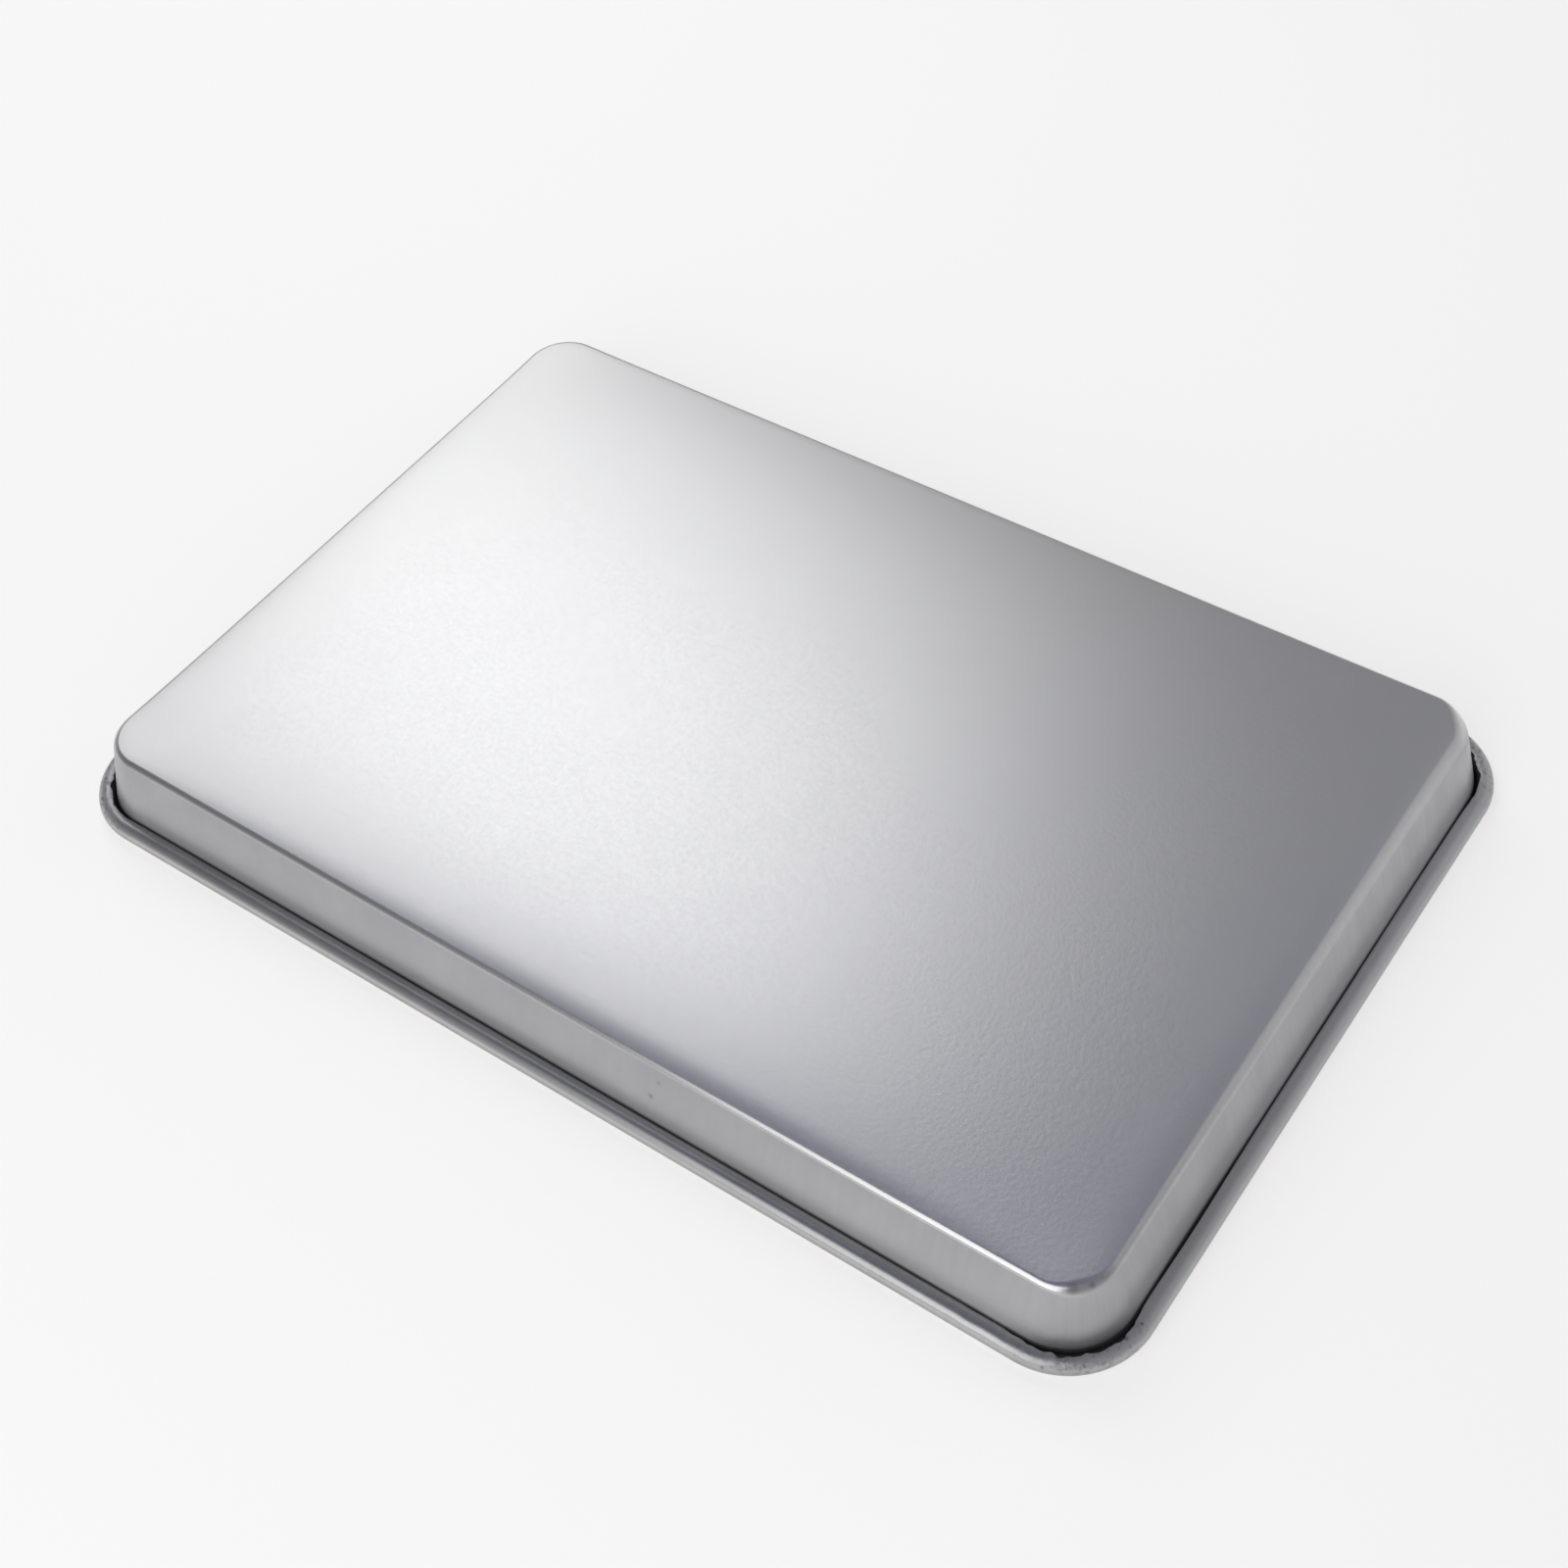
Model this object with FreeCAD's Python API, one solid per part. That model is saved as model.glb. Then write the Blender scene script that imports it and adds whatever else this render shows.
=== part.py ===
import FreeCAD
import Part
import math
import os

# Rimmed cookie sheet, standing upside down on its rolled rim with the outside of the base up.
# Millimetres. X runs along the length, Y along the width, Z up. The origin is on the surface that
# the rim stands on, under the middle of the base.

# Overall size, measured over the rolled rim
RIM_LENGTH = 394.0
RIM_WIDTH = 267.0
PAN_HEIGHT = 28.0

# Pressed sheet: gauge, slope of the walls from upright, inside radius of the bend between base and
# wall, and plan radius of the corners of the flat base
SHEET_GAUGE = 0.8
WALL_DRAFT_DEGREES = 14.5
BASE_BEND_RADIUS = 1.6
BASE_CORNER_RADIUS = 13.5

# Rolled rim: the wire, its play inside the curl, the slot left between the raw edge of the sheet
# and the wall, and the gap between the two butted ends of the wire
WIRE_DIAMETER = 4.8
WIRE_CLEARANCE = 0.1
RAW_EDGE_GAP = 0.5
WIRE_END_GAP = 0.8

UP = FreeCAD.Vector(0, 0, 1)
TURN = 360.0
QUARTER_TURN = TURN / 4

wall_draft = math.radians(WALL_DRAFT_DEGREES)
wire_radius = WIRE_DIAMETER / 2
curl_inner_radius = wire_radius + WIRE_CLEARANCE
curl_outer_radius = curl_inner_radius + SHEET_GAUGE
bend_outer_radius = BASE_BEND_RADIUS + SHEET_GAUGE

# Sections are drawn in the plane of a corner's axis: the first coordinate is the distance from that
# axis, the second the height. The bend and the curl both touch the outer face of the wall.
bend_height = PAN_HEIGHT - bend_outer_radius
curl_height = curl_outer_radius
wall_rise = bend_height - curl_height
curl_reach = (
    bend_outer_radius + curl_inner_radius + wall_rise * math.sin(wall_draft)
) / math.cos(wall_draft)
bend_centre = FreeCAD.Vector(BASE_CORNER_RADIUS, 0, bend_height)
curl_centre = FreeCAD.Vector(BASE_CORNER_RADIUS + curl_reach, 0, curl_height)

# Middle of each corner in plan
rim_corner_radius = curl_centre.x + curl_outer_radius
corner_x = RIM_LENGTH / 2 - rim_corner_radius
corner_y = RIM_WIDTH / 2 - rim_corner_radius


def on_circle(centre, radius, angle):
    """Point of a section at an angle on a circle, counted from straight outward towards up."""
    return centre + FreeCAD.Vector(math.cos(angle), 0, math.sin(angle)) * radius


def arc(centre, radius, start, end):
    """Arc of a section between two angles on a circle."""
    middle = (start + end) / 2
    return Part.Arc(
        on_circle(centre, radius, start),
        on_circle(centre, radius, middle),
        on_circle(centre, radius, end),
    ).toShape()


def line(start, end):
    return Part.LineSegment(start, end).toShape()


def wall_section():
    """Face of the sheet from the edge of the flat base, down the wall and round the wire.

    The outside of the pan bends over the base's edge, runs down the wall and turns under the wire.
    The inside follows it one gauge away. The raw edge stops short of the wall by the slot's width.
    """
    base_angle = math.radians(QUARTER_TURN)
    curl_start = math.pi + wall_draft
    raw_edge_lean = (RAW_EDGE_GAP - curl_inner_radius) / curl_outer_radius
    curl_end = math.radians(TURN) + wall_draft + math.acos(raw_edge_lean)

    outside_bend = arc(bend_centre, bend_outer_radius, base_angle, wall_draft)
    outside_wall = line(
        on_circle(bend_centre, bend_outer_radius, wall_draft),
        on_circle(curl_centre, curl_inner_radius, curl_start),
    )
    outside_curl = arc(curl_centre, curl_inner_radius, curl_start, curl_end)
    raw_edge = line(
        on_circle(curl_centre, curl_inner_radius, curl_end),
        on_circle(curl_centre, curl_outer_radius, curl_end),
    )
    inside_curl = arc(curl_centre, curl_outer_radius, curl_end, curl_start)
    inside_wall = line(
        on_circle(curl_centre, curl_outer_radius, curl_start),
        on_circle(bend_centre, BASE_BEND_RADIUS, wall_draft),
    )
    inside_bend = arc(bend_centre, BASE_BEND_RADIUS, wall_draft, base_angle)
    base_edge = line(
        on_circle(bend_centre, BASE_BEND_RADIUS, base_angle),
        on_circle(bend_centre, bend_outer_radius, base_angle),
    )
    outline = Part.Wire(
        [
            outside_bend,
            outside_wall,
            outside_curl,
            raw_edge,
            inside_curl,
            inside_wall,
            inside_bend,
            base_edge,
        ]
    )
    return Part.Face(outline)


def wire_section():
    """Round face of the wire, in the middle of the curl."""
    across = FreeCAD.Vector(0, 1, 0)
    return Part.Face(Part.Wire(Part.makeCircle(wire_radius, curl_centre, across)))


def round_the_pan(section):
    """Carries a section once round the pan: about each corner's axis, then along the next side."""
    corners = [
        FreeCAD.Vector(corner_x, -corner_y, 0),
        FreeCAD.Vector(corner_x, corner_y, 0),
        FreeCAD.Vector(-corner_x, corner_y, 0),
        FreeCAD.Vector(-corner_x, -corner_y, 0),
    ]
    stretches = []
    for index, corner in enumerate(corners):
        next_corner = corners[(index + 1) % len(corners)]
        before = section.copy()
        before.rotate(FreeCAD.Vector(), UP, (index - 1) * QUARTER_TURN)
        before.translate(corner)
        after = before.copy()
        after.rotate(corner, UP, QUARTER_TURN)
        stretches.append(before.revolve(corner, UP, QUARTER_TURN))
        stretches.append(after.extrude(next_corner - corner))
    return stretches


def flat_base():
    """Flat of the base, one gauge thick: the rectangle between the corners' axes, grown all round."""
    inside_height = PAN_HEIGHT - SHEET_GAUGE
    corner = FreeCAD.Vector(-corner_x, -corner_y, inside_height)
    between_axes = Part.makePlane(2 * corner_x, 2 * corner_y, corner)
    return between_axes.makeOffset2D(BASE_CORNER_RADIUS).extrude(UP * SHEET_GAUGE)


def make_pan_sheet():
    """The pressed tray with its curled rim, all one sheet."""
    return flat_base().multiFuse(round_the_pan(wall_section())).removeSplitter()


def make_rim_wire():
    """The wire inside the curl, one length whose ends butt in the middle of a long side."""
    first, *others = round_the_pan(wire_section())
    loop = first.multiFuse(others).removeSplitter()
    parting = Part.makeBox(
        WIRE_END_GAP,
        WIRE_DIAMETER + curl_outer_radius,
        WIRE_DIAMETER + curl_outer_radius,
        FreeCAD.Vector(-WIRE_END_GAP / 2, corner_y + curl_centre.x - WIRE_DIAMETER, 0),
    )
    return loop.cut(parting)


def save(name, shape):
    """Writes a piece as its one solid, after a test that it is sound."""
    solid = shape.Solids[0]
    if len(shape.Solids) != 1 or not solid.isValid():
        raise ValueError(f"{name} is not one sound solid")
    solid.exportStep(f"parts/{name}.step")
    print(name, "volume", round(solid.Volume, 1), "box", solid.optimalBoundingBox())


os.makedirs("parts", exist_ok=True)
save("pan_sheet", make_pan_sheet())
save("rim_wire", make_rim_wire())
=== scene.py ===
import math

import bpy
import numpy as np
from mathutils import Matrix, Vector


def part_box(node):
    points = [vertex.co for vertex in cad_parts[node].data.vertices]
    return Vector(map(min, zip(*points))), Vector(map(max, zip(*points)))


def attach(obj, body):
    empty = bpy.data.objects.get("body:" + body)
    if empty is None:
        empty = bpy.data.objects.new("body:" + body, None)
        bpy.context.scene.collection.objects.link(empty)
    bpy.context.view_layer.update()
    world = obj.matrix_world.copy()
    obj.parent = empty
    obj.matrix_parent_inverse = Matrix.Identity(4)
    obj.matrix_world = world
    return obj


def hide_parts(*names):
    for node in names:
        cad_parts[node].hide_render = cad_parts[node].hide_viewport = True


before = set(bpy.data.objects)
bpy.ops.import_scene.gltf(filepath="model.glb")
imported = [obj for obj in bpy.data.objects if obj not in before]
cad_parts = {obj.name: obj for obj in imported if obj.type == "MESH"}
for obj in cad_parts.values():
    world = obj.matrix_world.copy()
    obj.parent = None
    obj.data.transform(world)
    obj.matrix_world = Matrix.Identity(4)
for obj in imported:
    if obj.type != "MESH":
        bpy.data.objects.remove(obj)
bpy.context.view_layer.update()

# Pan sheet
# One blank of bare aluminium sheet, drawn in a press into a shallow tray with sloping walls. Its edge
# is rolled outwards round a wire, so base, walls and bead are the same sheet, standing upside down.
mm = 0.001
pan_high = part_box("pan_sheet")[1]
pan_height = pan_high.z
sheet_gauge = 0.8 * mm
wall_draft = math.radians(14.5)
base_corner_radius = 13.5 * mm
curl_inner_radius = 2.5 * mm
curl_outer_radius = curl_inner_radius + sheet_gauge

# Outside radius of the bend from base to wall. It is wider at the right end, more towards the back
# and round that end's corners.
long_bend_radius = 2.4 * mm
right_bend_radius = 4.2 * mm
right_bend_lean = 1.0 * mm
right_corner_extra = 1.6 * mm

# The base is flat in the middle and rolls off a little towards each side, where the press let it
# spring, but not at the corners, which hold it. Crowns are wide and slight, and shoulders are narrow,
# each with its drop and its width.
crowns = {
    "front": (1.45 * mm, 54.0 * mm),
    "right": (0.2 * mm, 47.0 * mm),
    "back": (0.34 * mm, 47.0 * mm),
    "left": (0.64 * mm, 47.0 * mm),
}
shoulders = {
    "front": (0.28 * mm, 7.0 * mm),
    "right": (0.36 * mm, 8.5 * mm),
    "back": (0.0, 6.0 * mm),
    "left": (0.1 * mm, 8.5 * mm),
}
roll_off_power = 2.6
corner_hold_power = 5

# The front rolls off less towards the left, by this share, and its shoulder swells right of the middle
front_left_loss = 0.65
front_swell = 0.8
swell_place = 90.0 * mm
swell_width = 70.0 * mm

# The bead's middle, measured out from the axis that a corner turns about, and the place of that axis
wall_rise = pan_height - long_bend_radius - curl_outer_radius
curl_reach = long_bend_radius + curl_inner_radius + wall_rise * math.sin(wall_draft)
curl_out = base_corner_radius + curl_reach / math.cos(wall_draft)
corner_x = pan_high.x - curl_out - curl_outer_radius
corner_y = pan_high.y - curl_out - curl_outer_radius

# The raw edge lies close to the wall along the sides, closest at the right end of the long ones, and
# stands off it round the corners, most at the front right one. There the sheet is gathered, so its edge
# is ragged and the last of the curl is puckered.
long_side_gap = 0.42 * mm
short_side_gap = 0.55 * mm
long_gap_lean = 0.20 * mm
side_gap_waver = 0.12 * mm
corner_gap = 1.7 * mm
front_corner_gap = 2.9 * mm
front_corner_reach = 40.0 * mm
corner_spread = 19.0 * mm
corner_spread_power = 4
corner_ragged = 0.32 * mm
fine_ragged_share = 0.25
corner_pucker = 0.14 * mm
pucker_start = 0.6

# Whole waves round the pan, for the raw edge along the sides, its rags at the corners and the puckers,
# and the seed of their random phases
side_waves = [5, 8, 13, 17]
ragged_waves = [97, 131, 178, 223, 260]
fine_ragged_waves = [410, 487, 556]
pucker_waves = [88, 121, 149]
wave_seed = 11

# Tears in the raw edge by the front right corner: place along the bead from that corner's middle,
# depth and width
edge_tears = [
    (-33.5 * mm, 0.8 * mm, 1.6 * mm),
    (-22.5 * mm, 0.9 * mm, 2.2 * mm),
    (-7.4 * mm, 0.5 * mm, 1.2 * mm),
    (48.0 * mm, 0.75 * mm, 26.0 * mm),
]

# Rows of points round the pan, in each corner and along each side, and points of each stretch of the
# sheet's section
corner_rows = 90
long_rows = 56
short_rows = 38
base_rings = 25
bend_points = 18
wall_points = 26
curl_points = 36
lip_points = 9
inner_wall_points = 8
inner_bend_points = 8
floor_rings = 12


def round_the_pan(corner_steps, long_steps, short_steps):
    """One trip round the pan, anticlockwise from above, beginning with the front right corner.

    A corner turns the outward direction by a quarter about its axis, and a side moves the axis on to
    the next corner, in steps that crowd towards its ends. Gives the axis points, the outward angles,
    the length along the bead's middle, the distance along it to the nearest corner's middle and the
    whole length.
    """
    quarter = math.pi / 2
    corner_crowding = 0.85
    axes = np.array([[1, -1], [1, 1], [-1, 1], [-1, -1]]) * (corner_x, corner_y)
    turned = np.arange(corner_steps) / corner_steps
    arc = quarter * curl_out
    feet, angles, lengths, nearest = [], [], [], []
    done = 0.0
    for index, steps in enumerate((short_steps, long_steps, short_steps, long_steps)):
        start, end = axes[index], axes[(index + 1) % 4]
        along = np.arange(steps)[:, None] / steps
        along = along - corner_crowding * np.sin(2 * math.pi * along) / (2 * math.pi)
        side = np.linalg.norm(end - start)
        feet += [np.repeat(start[None], corner_steps, 0), start + (end - start) * along]
        angles += [(index - 1 + turned) * quarter, np.full(steps, index * quarter)]
        lengths += [done + arc * turned, done + arc + side * along[:, 0]]
        nearest += [arc * np.abs(turned - 0.5), arc / 2 + side * np.minimum(along, 1 - along)[:, 0]]
        done += arc + side
    return *(np.concatenate(parts) for parts in (feet, angles, lengths, nearest)), done


axis, outward, bead_length, to_corner, bead_total = round_the_pan(corner_rows, long_rows, short_rows)
out_x, out_y = np.cos(outward)[:, None], np.sin(outward)[:, None]


def fade(values, start, end):
    """Nought up to the start, one from the end on, and a straight line between them."""
    return np.clip((values - start) / (end - start), 0, 1)


def base_drop(x, y):
    """How far the base lies below its middle.

    For each side: a power of the nearness to that side for the crown, and the same again for the
    shoulder by the bend. Both fade to nought at the side's two ends. The front's are less towards the
    left, and its shoulder swells right of the middle.
    """
    half_x, half_y = corner_x + base_corner_radius, corner_y + base_corner_radius
    along_x, along_y = (1 - np.clip(np.abs(v), 0, 1) ** corner_hold_power for v in (x / half_x, y / half_y))
    front = along_x * (1 + front_left_loss * np.minimum(x, 0) / half_x)
    swell = 1 + front_swell * np.exp(-(((x - swell_place) / swell_width) ** 2))
    places = {
        "front": (half_y + y, front, swell),
        "right": (half_x - x, along_y, 1),
        "back": (half_y - y, along_x, 1),
        "left": (half_x + x, along_y, 1),
    }
    drop = 0
    for side, (inset, along, swollen) in places.items():
        (crown, crown_width), (shoulder, shoulder_width) = crowns[side], shoulders[side]
        crown = crown * fade(inset, crown_width, 0) ** roll_off_power
        shoulder = shoulder * fade(inset, shoulder_width, 0) ** roll_off_power
        drop = drop + along * (crown + swollen * shoulder)
    return drop


# The base ends sooner where the bend is wider
to_right = np.clip(out_x, 0, None)
right_bend = right_bend_radius + right_bend_lean * axis[:, 1:] / corner_y
bend_radius = (
    long_bend_radius
    + (right_bend - long_bend_radius) * to_right**2
    + right_corner_extra * (2 * to_right * out_y) ** 2
)
bend_tangent = math.tan((math.pi / 2 - wall_draft) / 2)
base_edge = base_corner_radius - (bend_radius - long_bend_radius) * bend_tangent

# Height and outward lean of the base where the bend into the wall begins
lean_step = 0.1 * mm
edge_x, edge_y = axis[:, :1] + base_edge * out_x, axis[:, 1:] + base_edge * out_y
edge_drop = base_drop(edge_x, edge_y)
inner_drop = base_drop(edge_x - lean_step * out_x, edge_y - lean_step * out_y)
edge_lean = np.arctan((edge_drop - inner_drop) / lean_step)

# The raw edge's gap to the wall and the height of the puckers, all round the pan. Both depend on how far
# a place is in a corner: one about the corner's middle, and nought soon after the corner's spread.
around = 2 * math.pi * bead_length / bead_total
in_corner = np.exp(-((to_corner / corner_spread) ** corner_spread_power))
rng = np.random.default_rng(wave_seed)


def waver(waves):
    """Sum of sine waves, each a whole number round the pan, in random phase, scaled to about one."""
    phases = rng.uniform(0, 2 * math.pi, len(waves))
    return np.sin(np.outer(around, waves) + phases).sum(1) / math.sqrt(len(waves))


front_corner_middle = math.pi / 4 * curl_out
from_corner = (bead_length - front_corner_middle + bead_total / 2) % bead_total - bead_total / 2
tears = sum(depth * np.exp(-(((from_corner - place) / width) ** 2)) for place, depth, width in edge_tears)
long_gap = long_side_gap - long_gap_lean * axis[:, 0] / corner_x
side_gap = short_side_gap + (long_gap - short_side_gap) * np.sin(outward) ** 2
open_gap = corner_gap + (front_corner_gap - corner_gap) * (np.abs(from_corner) < front_corner_reach)
side_wander = side_gap_waver * waver(side_waves)
rags = corner_ragged * in_corner * (waver(ragged_waves) + fine_ragged_share * waver(fine_ragged_waves))
raw_gap = side_gap + tears + side_wander + (open_gap - side_gap) * in_corner + rags
pucker = corner_pucker * in_corner * np.clip(waver(pucker_waves), 0, None) ** 2


def on_circle(centre_out, centre_up, radius, angle):
    """Point of the section on a circle, its angle counted from straight outward towards up."""
    return centre_out + radius * np.cos(angle), centre_up + radius * np.sin(angle)


def sheet_section():
    """The sheet's outline, from the middle of the base outside, over the edge, back inside to the middle.

    Each stretch gives its distance out from the corner axis, its height, and the share of the base's
    plan that it is drawn to: 1 from the base's edge outwards, less on the rings inside that edge.
    The base rolls off, an arc bends it into the wall, a straight wall meets the curl, the curl runs
    under the wire and over it, and a squarish end closes the sheet. The inside lies one gauge away.
    """
    bend_start = math.pi / 2 - edge_lean
    bend_out = base_edge - bend_radius * np.sin(edge_lean)
    bend_up = pan_height - edge_drop - bend_radius * np.cos(edge_lean)
    bend_inner = bend_radius - sheet_gauge
    curl_start = math.pi + wall_draft
    curl_end = 2 * math.pi + wall_draft + np.arccos((raw_gap - curl_inner_radius) / curl_outer_radius)
    curl_middle = (curl_inner_radius + curl_outer_radius) / 2
    lip_length = sheet_gauge / 4
    lip_squareness = 0.4

    def turn(start, end, points):
        return start + (end - start) * np.linspace(0, 1, points)

    def straight(start, end, points):
        share = np.linspace(0, 1, points + 2)[1:-1]
        return [a + (b - a) * share for a, b in zip(start, end)]

    base_ring = np.sqrt(np.linspace(0, 1, base_rings))[1:-1]
    floor_ring = np.sqrt(np.linspace(1, 0, floor_rings))[1:-1]
    base_out = np.repeat(base_edge, len(base_ring), 1)
    base_up = np.full(base_out.shape, pan_height)
    floor_out = np.repeat(base_edge, len(floor_ring), 1)
    floor_up = np.full(floor_out.shape, pan_height - sheet_gauge)
    outer_bend = on_circle(bend_out, bend_up, bend_radius, turn(bend_start, wall_draft, bend_points))
    inner_bend = on_circle(bend_out, bend_up, bend_inner, turn(wall_draft, bend_start, inner_bend_points))

    curl_turn = np.linspace(0, 1, curl_points)
    curl_angle = curl_start + (curl_end[:, None] - curl_start) * curl_turn
    swell = pucker[:, None] * fade(curl_turn, pucker_start, 1) ** 2
    curl_in = on_circle(curl_out, curl_outer_radius, curl_inner_radius + swell, curl_angle)
    curl_over = on_circle(curl_out, curl_outer_radius, curl_outer_radius + swell, curl_angle)
    lip = np.linspace(0, math.pi, lip_points)[1:-1]
    lip_across = -np.sign(np.cos(lip)) * np.abs(np.cos(lip)) ** lip_squareness * sheet_gauge / 2
    lip_along = np.abs(np.sin(lip)) ** lip_squareness * lip_length
    lip_radius = curl_middle + pucker[:, None] + lip_across
    lip_angle = curl_end[:, None] + lip_along / curl_middle
    lip_end = on_circle(curl_out, curl_outer_radius, lip_radius, lip_angle)

    wall_foot = on_circle(curl_out, curl_outer_radius, curl_inner_radius, curl_start)
    inner_foot = on_circle(curl_out, curl_outer_radius, curl_outer_radius, curl_start)
    outer_wall = straight([c[:, -1:] for c in outer_bend], wall_foot, wall_points)
    inner_wall = straight(inner_foot, [c[:, :1] for c in inner_bend], inner_wall_points)
    stretches = [
        ("base", base_out, base_up, base_ring),
        ("bend", *outer_bend, None),
        ("wall", *outer_wall, None),
        ("groove", *curl_in, None),
        ("lip", *lip_end, None),
        ("bead", curl_over[0][:, ::-1], curl_over[1][:, ::-1], None),
        ("inside", *inner_wall, None),
        ("inside", *inner_bend, None),
        ("floor", floor_out, floor_up, floor_ring),
    ]
    out = np.concatenate([s[1] for s in stretches], 1)
    up = np.concatenate([s[2] for s in stretches], 1)
    ring = np.concatenate([np.ones(s[1].shape[1]) if s[3] is None else s[3] for s in stretches])
    zone = np.concatenate([np.full(s[1].shape[1], s[0]) for s in stretches])
    return out, up, ring, zone


def closed_mesh(name, grid, first_pole, last_pole):
    """Mesh of a grid that closes round its first axis, with a fan to a pole at each end of its second."""
    rows, columns = grid.shape[:2]
    corner = np.arange(rows * columns).reshape(rows, columns)
    following = np.roll(corner, -1, 0)
    quads = np.stack([corner[:, :-1], corner[:, 1:], following[:, 1:], following[:, :-1]], -1)
    first, last = rows * columns, rows * columns + 1
    first_fan = np.stack([np.full(rows, first), corner[:, 0], following[:, 0]], -1)
    last_fan = np.stack([corner[:, -1], np.full(rows, last), following[:, -1]], -1)
    points = np.vstack([grid.reshape(-1, 3), first_pole, last_pole])
    mesh = bpy.data.meshes.new(name)
    mesh.from_pydata(points, [], quads.reshape(-1, 4).tolist() + first_fan.tolist() + last_fan.tolist())
    mesh.shade_smooth()
    return mesh


section_out, section_up, section_ring, section_zone = sheet_section()
plan_x = section_ring * (axis[:, :1] + section_out * out_x)
plan_y = section_ring * (axis[:, 1:] + section_out * out_y)
on_base = np.isin(section_zone, ["base", "floor"])
pan_points = np.stack([plan_x, plan_y, section_up - np.where(on_base, base_drop(plan_x, plan_y), 0)], -1)
base_middle = (0, 0, pan_height)
floor_middle = (0, 0, pan_height - sheet_gauge)
pan_mesh = closed_mesh("pan_sheet_drawn", pan_points, base_middle, floor_middle)
pan_sheet = bpy.data.objects.new("pan_sheet_drawn", pan_mesh)
bpy.context.scene.collection.objects.link(pan_sheet)

# The die burnished the bend along the long sides. As shares of the bend, the burnish comes in after its
# start and dies out by its end, while the metal turns into drawn wall. Towards the right end the burnished
# bend keeps the clean colour, a painted highlight that brightens its bright line, more and more from one
# place along the length to another.
burnish_start = 0.05
burnish_full = 0.30
burnish_fade = 0.60
drawn_and_shaded_full = 0.85
bright_from = 40.0 * mm
bright_full = 150.0 * mm

# The walls are painted paler and made less metallic towards their foot, painted light that lifts the shade
# there, sooner on the long sides, by a power of the way down
long_foot_power = 1.15
short_foot_power = 1.9

# Painted shade darkens the groove behind the raw edge, from its top down to where it is black
groove_top = 6.0 * mm
groove_black = 4.9 * mm

# Hands rub the bead's shoulder smoother along the long sides, less at the corners, in a band that comes
# in and dies out between these angles, counted up from outward. The same band is painted paler, a painted
# highlight where the front lamp's bright line falls on the bead
long_side_power = 3
corner_rub_sheen_loss = 0.5
rub_sheen_high = math.radians(76)
rub_sheen_high_full = math.radians(58)
rub_sheen_low_full = math.radians(26)
rub_sheen_low = math.radians(8)

# Where hands don't rub it, the bead stays chalky, paler and matt: less outside that band of angles, dying
# out lower down between the next two, and more to the back. The paler band and the lean to the back are
# painted light.
chalk_beside_band = 0.7
chalk_full = math.radians(42)
chalk_low = math.radians(-5)
chalk_light_lean = 0.30


def paint(name, values):
    """Stores a number for each point of the pan's grid, and nought at its two poles, for the shader."""
    layer = pan_mesh.attributes.new(name, "FLOAT", "POINT")
    grid = np.broadcast_to(values, section_out.shape)
    layer.data.foreach_set("value", np.append(grid, [0.0, 0.0]).astype(np.float32))


on_bend, on_wall, on_bead = (section_zone == zone for zone in ("bend", "wall", "bead"))
bend_share = np.linspace(0, 1, bend_points)
wall_share = np.linspace(0, 1, wall_points)
long_side = np.abs(out_y) ** long_side_power
handled_sheen = long_side * (1 - corner_rub_sheen_loss * in_corner[:, None])

burnish = np.zeros(len(section_zone))
burnish[on_bend] = fade(bend_share, burnish_start, burnish_full) * fade(bend_share, 1, burnish_fade)
drawn_and_shaded = on_wall.astype(float)
drawn_and_shaded[on_bend] = fade(bend_share, 0, drawn_and_shaded_full) ** 2
foot = np.zeros(section_out.shape)
foot[:, on_wall] = wall_share ** (short_foot_power + (long_foot_power - short_foot_power) * out_y**2)
bead_angle = np.arctan2(section_up - curl_outer_radius, section_out - curl_out)
rubbed_sheen = fade(bead_angle, rub_sheen_high, rub_sheen_high_full) * fade(bead_angle, rub_sheen_low, rub_sheen_low_full)
chalk_light_band = chalk_beside_band + (1 - chalk_beside_band) * rubbed_sheen
chalk_and_light = chalk_light_band * fade(bead_angle, chalk_low, chalk_full) * (1 + chalk_light_lean * axis[:, 1:] / corner_y)
# Painted shade: the wall darkens from the groove's top down to black
groove_shade = on_wall * fade(section_up, groove_top, groove_black)

paint("burnished_bend", long_side * burnish)
# Painted shade in part: the walls' drawn colour is darker
paint("drawn_and_shaded_wall", drawn_and_shaded)
# Painted light: the walls' foot is paler, but not round the corners, which stay darker
paint("wall_foot", (1 - in_corner[:, None]) * foot)
paint("bright_end", fade(plan_x, bright_from, bright_full))
# Painted shade in part: the bead's rolled colour is darker
paint("rolled_and_shaded_bead", on_bead)
paint("gathered_bead", on_bead * in_corner[:, None])
# Painted highlight: the bead's rubbed band is paler as well as smoother
paint("rubbed_sheen_bead", on_bead * rubbed_sheen * handled_sheen)
# Painted light in part: the chalky bead is paler in the band and towards the back
paint("chalky_lit_bead", on_bead * (1 - handled_sheen) * chalk_and_light)
# Painted shade over the lip, the inside of the curl and the wall's foot in the groove
paint("painted_shade_groove", np.isin(section_zone, ["lip", "groove"]) + groove_shade)

# Where a point lies along the bead, on a circle as long as the bead so that it meets itself, and how
# high it is, for marks that the press drew down the sheet
circle_radius = bead_total / (2 * math.pi)
circle_x, circle_y = (circle_radius * wave(around)[:, None] for wave in (np.cos, np.sin))
press_way = np.stack(np.broadcast_arrays(circle_x, circle_y, section_up), -1).reshape(-1, 3)
press_layer = pan_mesh.attributes.new("press_way", "FLOAT_VECTOR", "POINT")
press_layer.data.foreach_set("vector", np.append(press_way, np.zeros((2, 3))).astype(np.float32))


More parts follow.
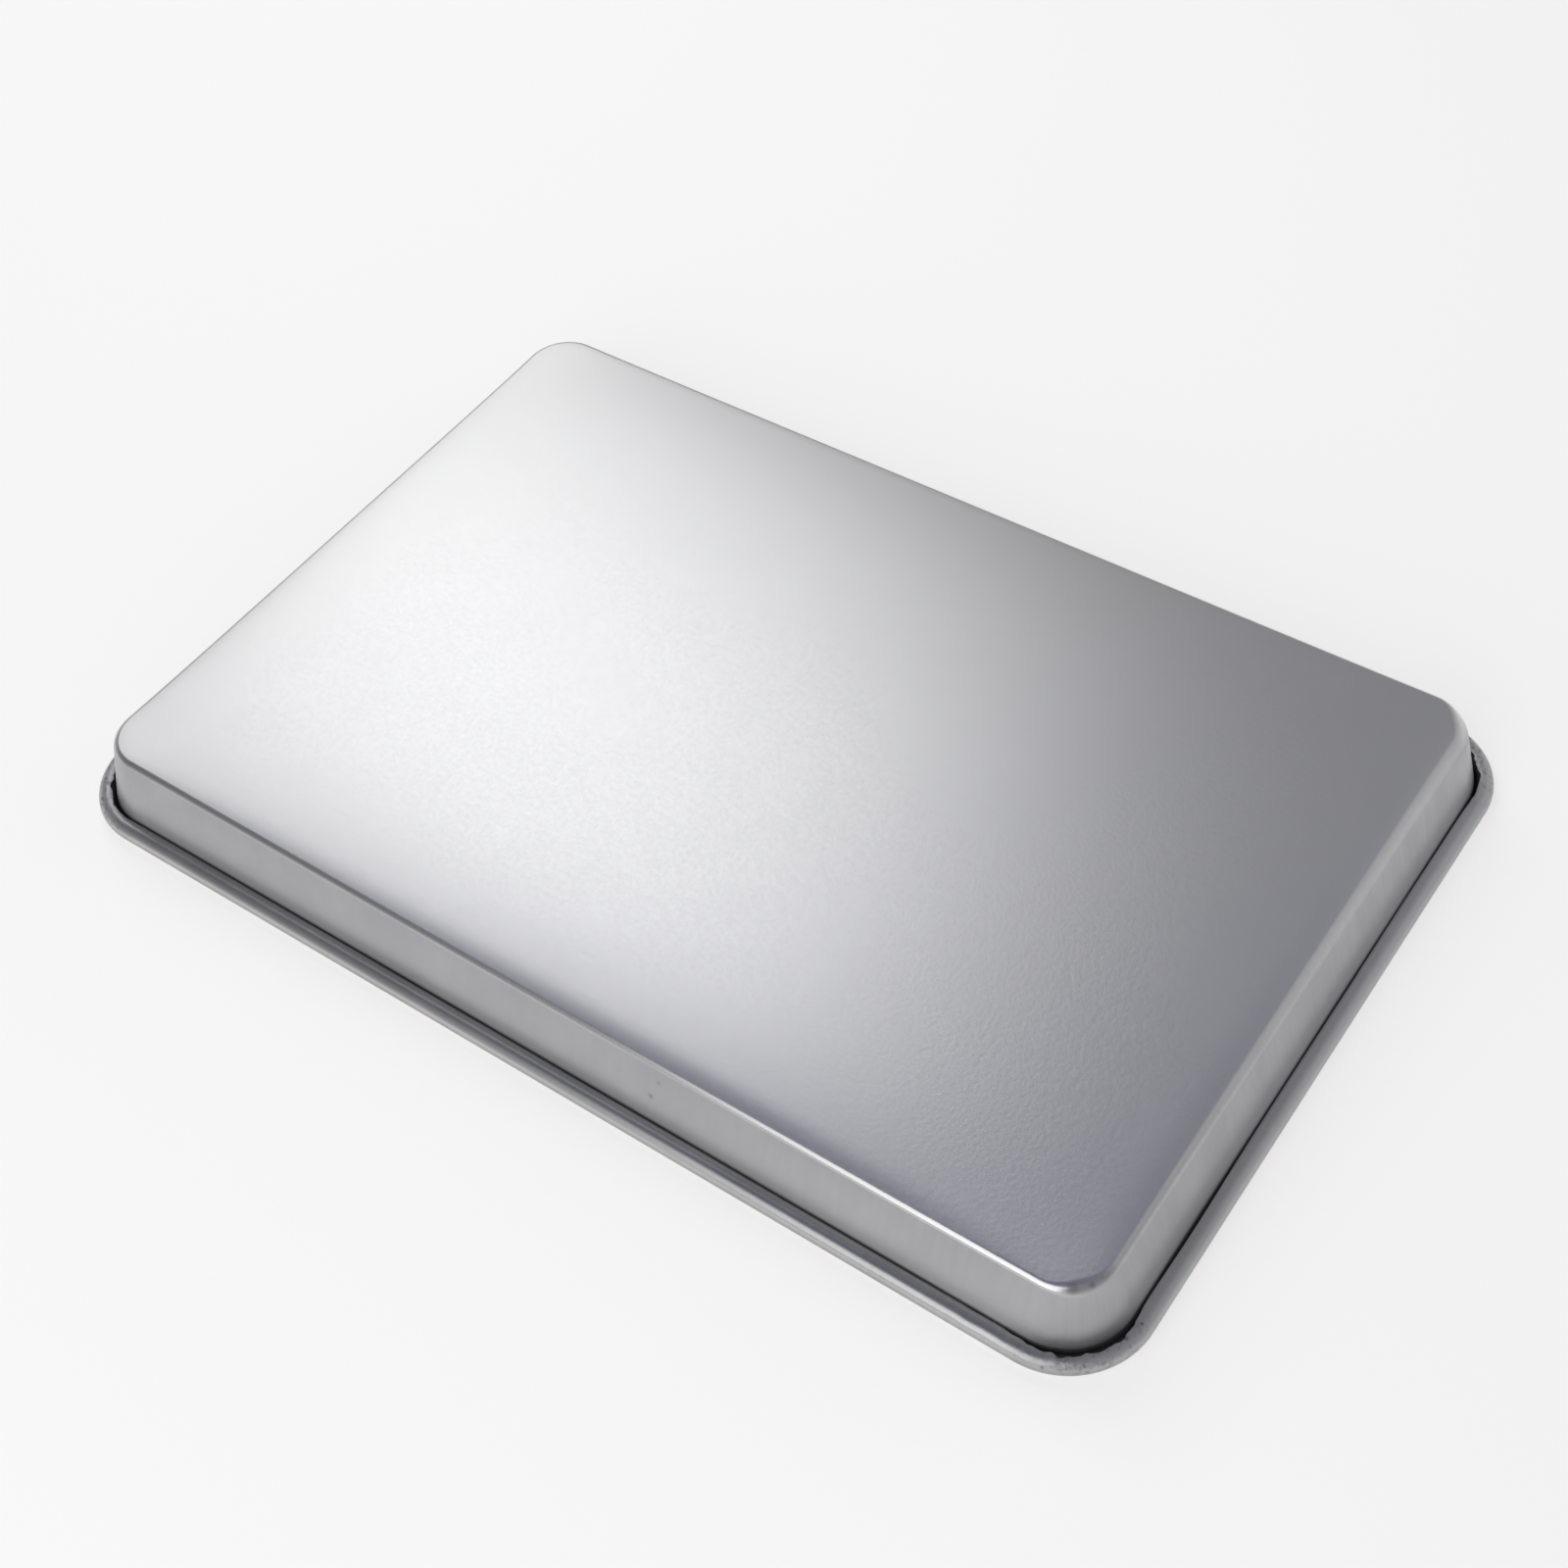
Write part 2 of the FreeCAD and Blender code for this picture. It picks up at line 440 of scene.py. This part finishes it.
class Signal:
    """One output of a shader node. Arithmetic on it adds Math nodes, and node() adds any other."""

    def __init__(self, socket):
        self.socket = socket

    @staticmethod
    def node(tree, kind, settings=(), sockets=(), output=0):
        """Adds a node of a type: its settings first, then each socket's value or link. Gives an output."""
        made = tree.nodes.new(kind)
        for name, value in dict(settings).items():
            if name == "stops":
                stops = made.color_ramp.elements
                for index, (position, colour) in enumerate(value):
                    stop = stops[index] if index < len(stops) else stops.new(position)
                    stop.position = position
                    stop.color = (*colour, 1)
            else:
                setattr(made, name, value)
        for name, value in dict(sockets).items():
            if isinstance(value, Signal):
                tree.links.new(value.socket, made.inputs[name])
            else:
                made.inputs[name].default_value = value
        return Signal(made.outputs[output]) if len(made.outputs) else None

    def math(self, operation, first, second):
        tree = self.socket.id_data
        return Signal.node(tree, "ShaderNodeMath", {"operation": operation}, {0: first, 1: second})

    def at_least(self, low):
        return self.math("MAXIMUM", self, low)

    def __add__(self, other):
        return self.math("ADD", self, other)

    def __radd__(self, other):
        return self.math("ADD", other, self)

    def __sub__(self, other):
        return self.math("SUBTRACT", self, other)

    def __rsub__(self, other):
        return self.math("SUBTRACT", other, self)

    def __mul__(self, other):
        return self.math("MULTIPLY", self, other)

    def __rmul__(self, other):
        return self.math("MULTIPLY", other, self)


# Finishes of the sheet: satin on the base, burnished by the die at the bend, drawn on the walls, rolled
# on the bead, and rubbed or chalky in places. The drawn and rolled colours are darker partly as painted
# shade, the rubbed band is paler as a painted sheen, the chalky bead is paler partly as painted light, and
# the groove is painted black as shade
base_roughness = 0.375
bend_roughness = 0.24
wall_roughness = 0.34
bead_roughness = 0.38
rubbed_roughness = 0.28
chalky_roughness = 0.48
groove_roughness = 0.50
clean_aluminium = (0.80, 0.80, 0.80, 1)
# The drawn and rolled colours are darker than the clean sheet partly as painted shade, for the darker floor
# that walls and bead mirror
drawn_and_shaded_aluminium = (0.486, 0.483, 0.500, 1)
rolled_and_shaded_aluminium = (0.41, 0.41, 0.415, 1)
chalky_lit_aluminium = (0.70, 0.70, 0.70, 1)
dark_soil_and_shade = (0.16, 0.16, 0.16, 1)
wall_metallic = 0.55
foot_metallic = 0.10
bead_metallic = 0.85
chalky_metallic = 0.30
specular_level = 0.25

# Shares of the drawn and rolled colours taken off the wall's foot, as painted light, and off the bead's
# rubbed band, as a painted sheen, and the share of the foot's paleness and of the grain that is left away
# from the bright end
foot_painted_light = 0.85
bead_painted_sheen = 0.4
dim_end_foot_light = 0.55
dim_end_grain = 0.1

# Patterns in the metal, in patches to a metre: fine grain, blotches, the gathered metal at the corners
# and streaks down the walls, with their depths and how far they change roughness and colour
grain_scale = 650.0
blotch_scale = 60.0
gather_scale = 650.0
streak_scales = (450.0, 450.0, 25.0)
pattern_detail = 3.0
gather_detail = 4.0
pattern_middle = 0.5
grain_depth = 0.046 * mm
streak_depth = 0.006 * mm
gather_depth = 0.20 * mm
grain_roughness = 0.09
blotch_roughness = 0.015
mottle_middle = 0.95
streak_mottle = 0.1
bright_streak_mottle = 0.25
blotch_mottle = 0.4
gather_soil = 4.0
gather_soil_level = 0.54

# Marks: place, size and how dark, for painted shade in a creased corner of the bend, two scuffs of use on
# the front wall and two pits in the bead
marks_and_crease_shade = [
    # Painted shade in the crease at the bend's front right corner
    ((177.8 * mm, -117.6 * mm, 26.8 * mm), 2.2 * mm, 0.5),
    ((181.4 * mm, -113.8 * mm, 26.7 * mm), 1.2 * mm, 0.6),
    ((45.0 * mm, -123.2 * mm, 20.6 * mm), 1.4 * mm, 0.8),
    ((42.7 * mm, -124.7 * mm, 14.2 * mm), 1.4 * mm, 0.7),
    ((193.8 * mm, -107.1 * mm, 6.3 * mm), 0.9 * mm, 1.0),
    ((192.4 * mm, -113.1 * mm, 6.3 * mm), 1.0 * mm, 1.0),
]


def empty_material(name):
    """A new material and its node tree, with no nodes in it yet."""
    material = bpy.data.materials.new(name)
    material.use_nodes = True
    material.node_tree.nodes.clear()
    return material, material.node_tree


def painted(tree, name, output="Fac"):
    """What is stored at the points of the mesh under a name."""
    return Signal.node(tree, "ShaderNodeAttribute", {"attribute_name": name}, output=output)


def pattern(tree, place, scale, detail):
    """Soft random patches about one half, so many to a metre, with finer layers added."""
    return Signal.node(tree, "ShaderNodeTexNoise", {}, {"Vector": place, "Scale": scale, "Detail": detail})


def mixed(tree, share, first, second):
    """The first colour, turned into the second by a share. A Mix node's colours are sockets 6 and 7."""
    sockets = {0: share, 6: first, 7: second}
    return Signal.node(tree, "ShaderNodeMix", {"data_type": "RGBA"}, sockets, output=2)


def bare_aluminium():
    """Satin sheet on the base, burnished bend, duller drawn walls with faint streaks, a rolled bead.

    Roughness and metalness start at the base's and move towards each finish's by that finish's share.
    The colours are laid over each other: clean, drawn, rolled, chalky, then soil. Drawn and rolled are
    darker partly as painted shade, the walls' foot is paler as painted light, the burnished bend keeps the
    clean colour towards the bright end as a painted highlight, the bead's rubbed band is paler as a painted
    sheen, and the chalky bead is paler partly as painted light. Soil is painted shade in the groove and in
    the bend's crease, the hollows of the gathered metal, and the other marks, each dying out from its
    middle.
    """
    material, tree = empty_material("bare_aluminium")
    place = Signal.node(tree, "ShaderNodeTexCoord", output="Object")
    bend = painted(tree, "burnished_bend")
    wall = painted(tree, "drawn_and_shaded_wall")
    foot = painted(tree, "wall_foot")
    bead = painted(tree, "rolled_and_shaded_bead")
    gathered = painted(tree, "gathered_bead")
    rubbed_sheen = painted(tree, "rubbed_sheen_bead")
    chalky_lit = painted(tree, "chalky_lit_bead")
    bright = painted(tree, "bright_end")
    groove_shaded = painted(tree, "painted_shade_groove")
    way = painted(tree, "press_way", "Vector")
    stretch = {0: way, 1: streak_scales}
    stretched = Signal.node(tree, "ShaderNodeVectorMath", {"operation": "MULTIPLY"}, stretch)
    streak = pattern(tree, stretched, 1.0, pattern_detail)
    grain = pattern(tree, place, grain_scale, pattern_detail)
    blotch = pattern(tree, place, blotch_scale, pattern_detail)
    gather = pattern(tree, place, gather_scale, gather_detail)
    grained = 1.0 - bead - bend

    # Painted shade in the groove, plus dark speckles on the gathered metal
    soil_and_shade = groove_shaded + (gather_soil * gathered * (gather - gather_soil_level)).at_least(0.0)
    for centre, size, darkness in marks_and_crease_shade:
        between = {0: place, 1: centre}
        away = Signal.node(tree, "ShaderNodeVectorMath", {"operation": "DISTANCE"}, between, output="Value")
        dying_out = {"Value": away, "From Max": size, "To Min": darkness, "To Max": 0.0}
        soil_and_shade = soil_and_shade + Signal.node(tree, "ShaderNodeMapRange", {}, dying_out)

    roughness = (
        base_roughness
        + (bend_roughness - base_roughness) * bend
        + (wall_roughness - base_roughness) * wall
        + (bead_roughness - base_roughness) * bead
        + (rubbed_roughness - bead_roughness) * rubbed_sheen
        + (chalky_roughness - bead_roughness) * chalky_lit
        + (groove_roughness - base_roughness) * groove_shaded
        + blotch_roughness * (blotch - pattern_middle)
        + grain_roughness * (grain - pattern_middle) * grained
    )
    mottle = (
        mottle_middle
        + (streak_mottle + bright_streak_mottle * bright) * (streak - pattern_middle)
        + blotch_mottle * (blotch - pattern_middle)
    )
    # Painted light on the walls' foot, more towards the bright end
    foot_light = foot * (dim_end_foot_light + (1.0 - dim_end_foot_light) * bright)
    dull = (
        (1.0 - wall_metallic) * wall * (1.0 - bend)
        + (wall_metallic - foot_metallic) * foot_light
        + (1.0 - bead_metallic) * bead
        + (bead_metallic - chalky_metallic) * chalky_lit
    )
    colour = clean_aluminium
    for share, finish in (
        # Painted highlight: the burnished bend keeps the clean colour towards the bright end; the foot is
        # paler as painted light
        ((wall * (1.0 - bend * bright) - foot_painted_light * foot_light) * mottle, drawn_and_shaded_aluminium),
        # Painted sheen on the bead's rubbed band; the rolled colour is partly painted shade
        (bead * mottle * (1.0 - bead_painted_sheen * rubbed_sheen), rolled_and_shaded_aluminium),
        # Chalky, paler partly as painted light
        (chalky_lit, chalky_lit_aluminium),
        # Painted shade in the groove and the bend's crease, with the soil of the gathered metal and the
        # marks
        (soil_and_shade, dark_soil_and_shade),
    ):
        colour = mixed(tree, share, colour, finish)
    height = (
        grain_depth * grain * grained * (dim_end_grain + (1.0 - dim_end_grain) * bright)
        + streak_depth * streak * wall
        + gather_depth * gather * gathered
    )
    bump = Signal.node(tree, "ShaderNodeBump", {}, {"Strength": 1.0, "Distance": 1.0, "Height": height})
    metal = Signal.node(
        tree,
        "ShaderNodeBsdfPrincipled",
        {},
        {
            "Base Color": colour,
            "Metallic": 1.0 - dull,
            "Roughness": roughness,
            "Specular IOR Level": specular_level,
            "Normal": bump,
        },
    )
    Signal.node(tree, "ShaderNodeOutputMaterial", {}, {"Surface": metal})
    return material


pan_mesh.materials.append(bare_aluminium())
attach(pan_sheet, "root")
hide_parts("pan_sheet")

# Rim wire
# The stiffening wire that the rim is rolled round: one length of galvanised steel, bent to the rim's
# rounded rectangle with its ends butted. Its zinc is painted nearly black as shade, so it only shows as a
# dull line deep in the slot at the corners.
shaded_zinc = (0.09, 0.09, 0.095, 1)
zinc_roughness = 0.45
spangle_roughness = 0.3
spangle_scale = 700.0


def galvanised_steel():
    """Dull zinc painted nearly black as shade for the slot, mottled where the coat is thicker."""
    material, tree = empty_material("galvanised_steel")
    place = Signal.node(tree, "ShaderNodeTexCoord", output="Object")
    spangle = pattern(tree, place, spangle_scale, pattern_detail)
    roughness = zinc_roughness + spangle_roughness * spangle
    coat = {"Base Color": shaded_zinc, "Metallic": 1.0, "Roughness": roughness}
    metal = Signal.node(tree, "ShaderNodeBsdfPrincipled", {}, coat)
    Signal.node(tree, "ShaderNodeOutputMaterial", {}, {"Surface": metal})
    return material


wire_finish = galvanised_steel()
for wire_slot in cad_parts["rim_wire"].material_slots:
    wire_slot.material = wire_finish

# Floor
# A plain pale sheet under the pan. It is a little brighter to the eye and in the metal than the lamps
# alone make it, and it keeps the pan's shadow.
floor_half = 4.0
paper_white = (0.85, 0.85, 0.85, 1)
glow_white = (1.0, 0.98, 0.955, 1)
glow_strength = 0.545
floor_mesh = bpy.data.meshes.new("floor")
floor_corners = floor_half * np.array([[-1, -1, 0], [1, -1, 0], [1, 1, 0], [-1, 1, 0]])
floor_mesh.from_pydata(floor_corners, [], [(0, 1, 2, 3)])
floor = bpy.data.objects.new("floor", floor_mesh)
bpy.context.scene.collection.objects.link(floor)


def pale_paper():
    """Matt paper, plus a plain glow that only the camera and mirrored or refracted rays see."""
    material, tree = empty_material("pale_paper")
    seen = Signal.node(tree, "ShaderNodeLightPath", output="Is Camera Ray")
    mirrored = Signal(seen.socket.node.outputs["Is Glossy Ray"])
    refracted = Signal(seen.socket.node.outputs["Is Transmission Ray"])
    strength = glow_strength * (seen + mirrored + refracted)
    paper = Signal.node(tree, "ShaderNodeBsdfDiffuse", {}, {"Color": paper_white})
    glow = Signal.node(tree, "ShaderNodeEmission", {}, {"Color": glow_white, "Strength": strength})
    both = Signal.node(tree, "ShaderNodeAddShader", {}, {0: paper, 1: glow})
    Signal.node(tree, "ShaderNodeOutputMaterial", {}, {"Surface": both})
    return material


floor_mesh.materials.append(pale_paper())

# Room
# A dim even studio, darkest and a little blue overhead and lighter towards the horizon. Each shade
# stands at a height of the direction looked in, from level to straight up.
room_shades = [
    (0.0, (0.55, 0.55, 0.55)),
    (0.25, (0.40, 0.40, 0.40)),
    (0.5, (0.19, 0.19, 0.19)),
    (0.74, (0.160, 0.160, 0.163)),
    (0.86, (0.145, 0.150, 0.215)),
    (1.0, (0.106, 0.111, 0.158)),
]
room = bpy.data.worlds.new("studio_room")
bpy.context.scene.world = room
room.use_nodes = True
room_tree = room.node_tree
room_tree.nodes.clear()
heading = Signal.node(room_tree, "ShaderNodeTexCoord", output="Generated")
looked_up = Signal.node(room_tree, "ShaderNodeSeparateXYZ", {}, {"Vector": heading}, output="Z")
room_shade = Signal.node(room_tree, "ShaderNodeValToRGB", {"stops": room_shades}, {"Fac": looked_up})
room_light = Signal.node(room_tree, "ShaderNodeBackground", {}, {"Color": room_shade, "Strength": 1.0})
Signal.node(room_tree, "ShaderNodeOutputWorld", {}, {"Surface": room_light})

# Softboxes
# Three plain rectangles of light. A tilted one behind the pan on the left is mirrored in the base, a tall
# one in front draws the bright lines on the near bend and bead, and a dim one behind on the right lights
# the right end.
softbox_distance = 1.2


def softbox(name, azimuth, elevation, across, along, tilt, radiance):
    """Rectangle lamp that faces the pan from a direction, turned by its tilt about that direction.

    Azimuth is counted anticlockwise from +X. Its power is its radiance times its area times pi.
    """
    turn, rise, tilt = math.radians(azimuth), math.radians(elevation), math.radians(tilt)
    away = Vector((math.cos(rise) * math.cos(turn), math.cos(rise) * math.sin(turn), math.sin(rise)))
    level = Vector((-math.sin(turn), math.cos(turn), 0))
    upright = away.cross(level)
    side = level * math.cos(tilt) + upright * math.sin(tilt)
    top = upright * math.cos(tilt) - level * math.sin(tilt)
    lamp = bpy.data.lights.new(name, "AREA")
    lamp.shape = "RECTANGLE"
    lamp.size = across
    lamp.size_y = along
    lamp.energy = radiance * across * along * math.pi
    holder = bpy.data.objects.new(name, lamp)
    holder.matrix_world = Matrix((side, top, away)).transposed().to_4x4()
    holder.location = Vector((0, 0, pan_height)) + away * softbox_distance
    bpy.context.scene.collection.objects.link(holder)


softbox("back_softbox", azimuth=144.6, elevation=45.7, across=0.605, along=0.807, tilt=33.6, radiance=1.45)
softbox("front_softbox", azimuth=-84.5, elevation=35.0, across=1.0, along=1.06, tilt=0.0, radiance=1.10)
softbox("right_softbox", azimuth=52.0, elevation=28.0, across=1.0, along=1.2, tilt=0.0, radiance=0.31)

# Camera
# It looks down over the front right corner, rolled a little, with its frame raised so that the whole pan
# sits in it.
camera_azimuth = math.radians(39.82)
camera_elevation = math.radians(52.53)
camera_roll = math.radians(-6.21)
camera_distance = 651.4 * mm
camera_aim = Vector((40.6 * mm, -52.5 * mm, pan_height))
camera_data = bpy.data.cameras.new("camera")
camera_data.sensor_width = 36.0
camera_data.lens = 50.1
camera_data.shift_y = 0.071
camera = bpy.data.objects.new("camera", camera_data)
bpy.context.scene.collection.objects.link(camera)
camera_back = Vector(
    (
        math.sin(camera_azimuth) * math.cos(camera_elevation),
        -math.cos(camera_azimuth) * math.cos(camera_elevation),
        math.sin(camera_elevation),
    )
)
camera_right = Vector((math.cos(camera_azimuth), math.sin(camera_azimuth), 0))
camera_up = camera_back.cross(camera_right)
rolled_right = camera_right * math.cos(camera_roll) + camera_up * math.sin(camera_roll)
rolled_up = camera_up * math.cos(camera_roll) - camera_right * math.sin(camera_roll)
camera.matrix_world = Matrix((rolled_right, rolled_up, camera_back)).transposed().to_4x4()
camera.location = camera_aim + camera_back * camera_distance
bpy.context.scene.camera = camera
bpy.context.scene.view_settings.view_transform = "Standard"
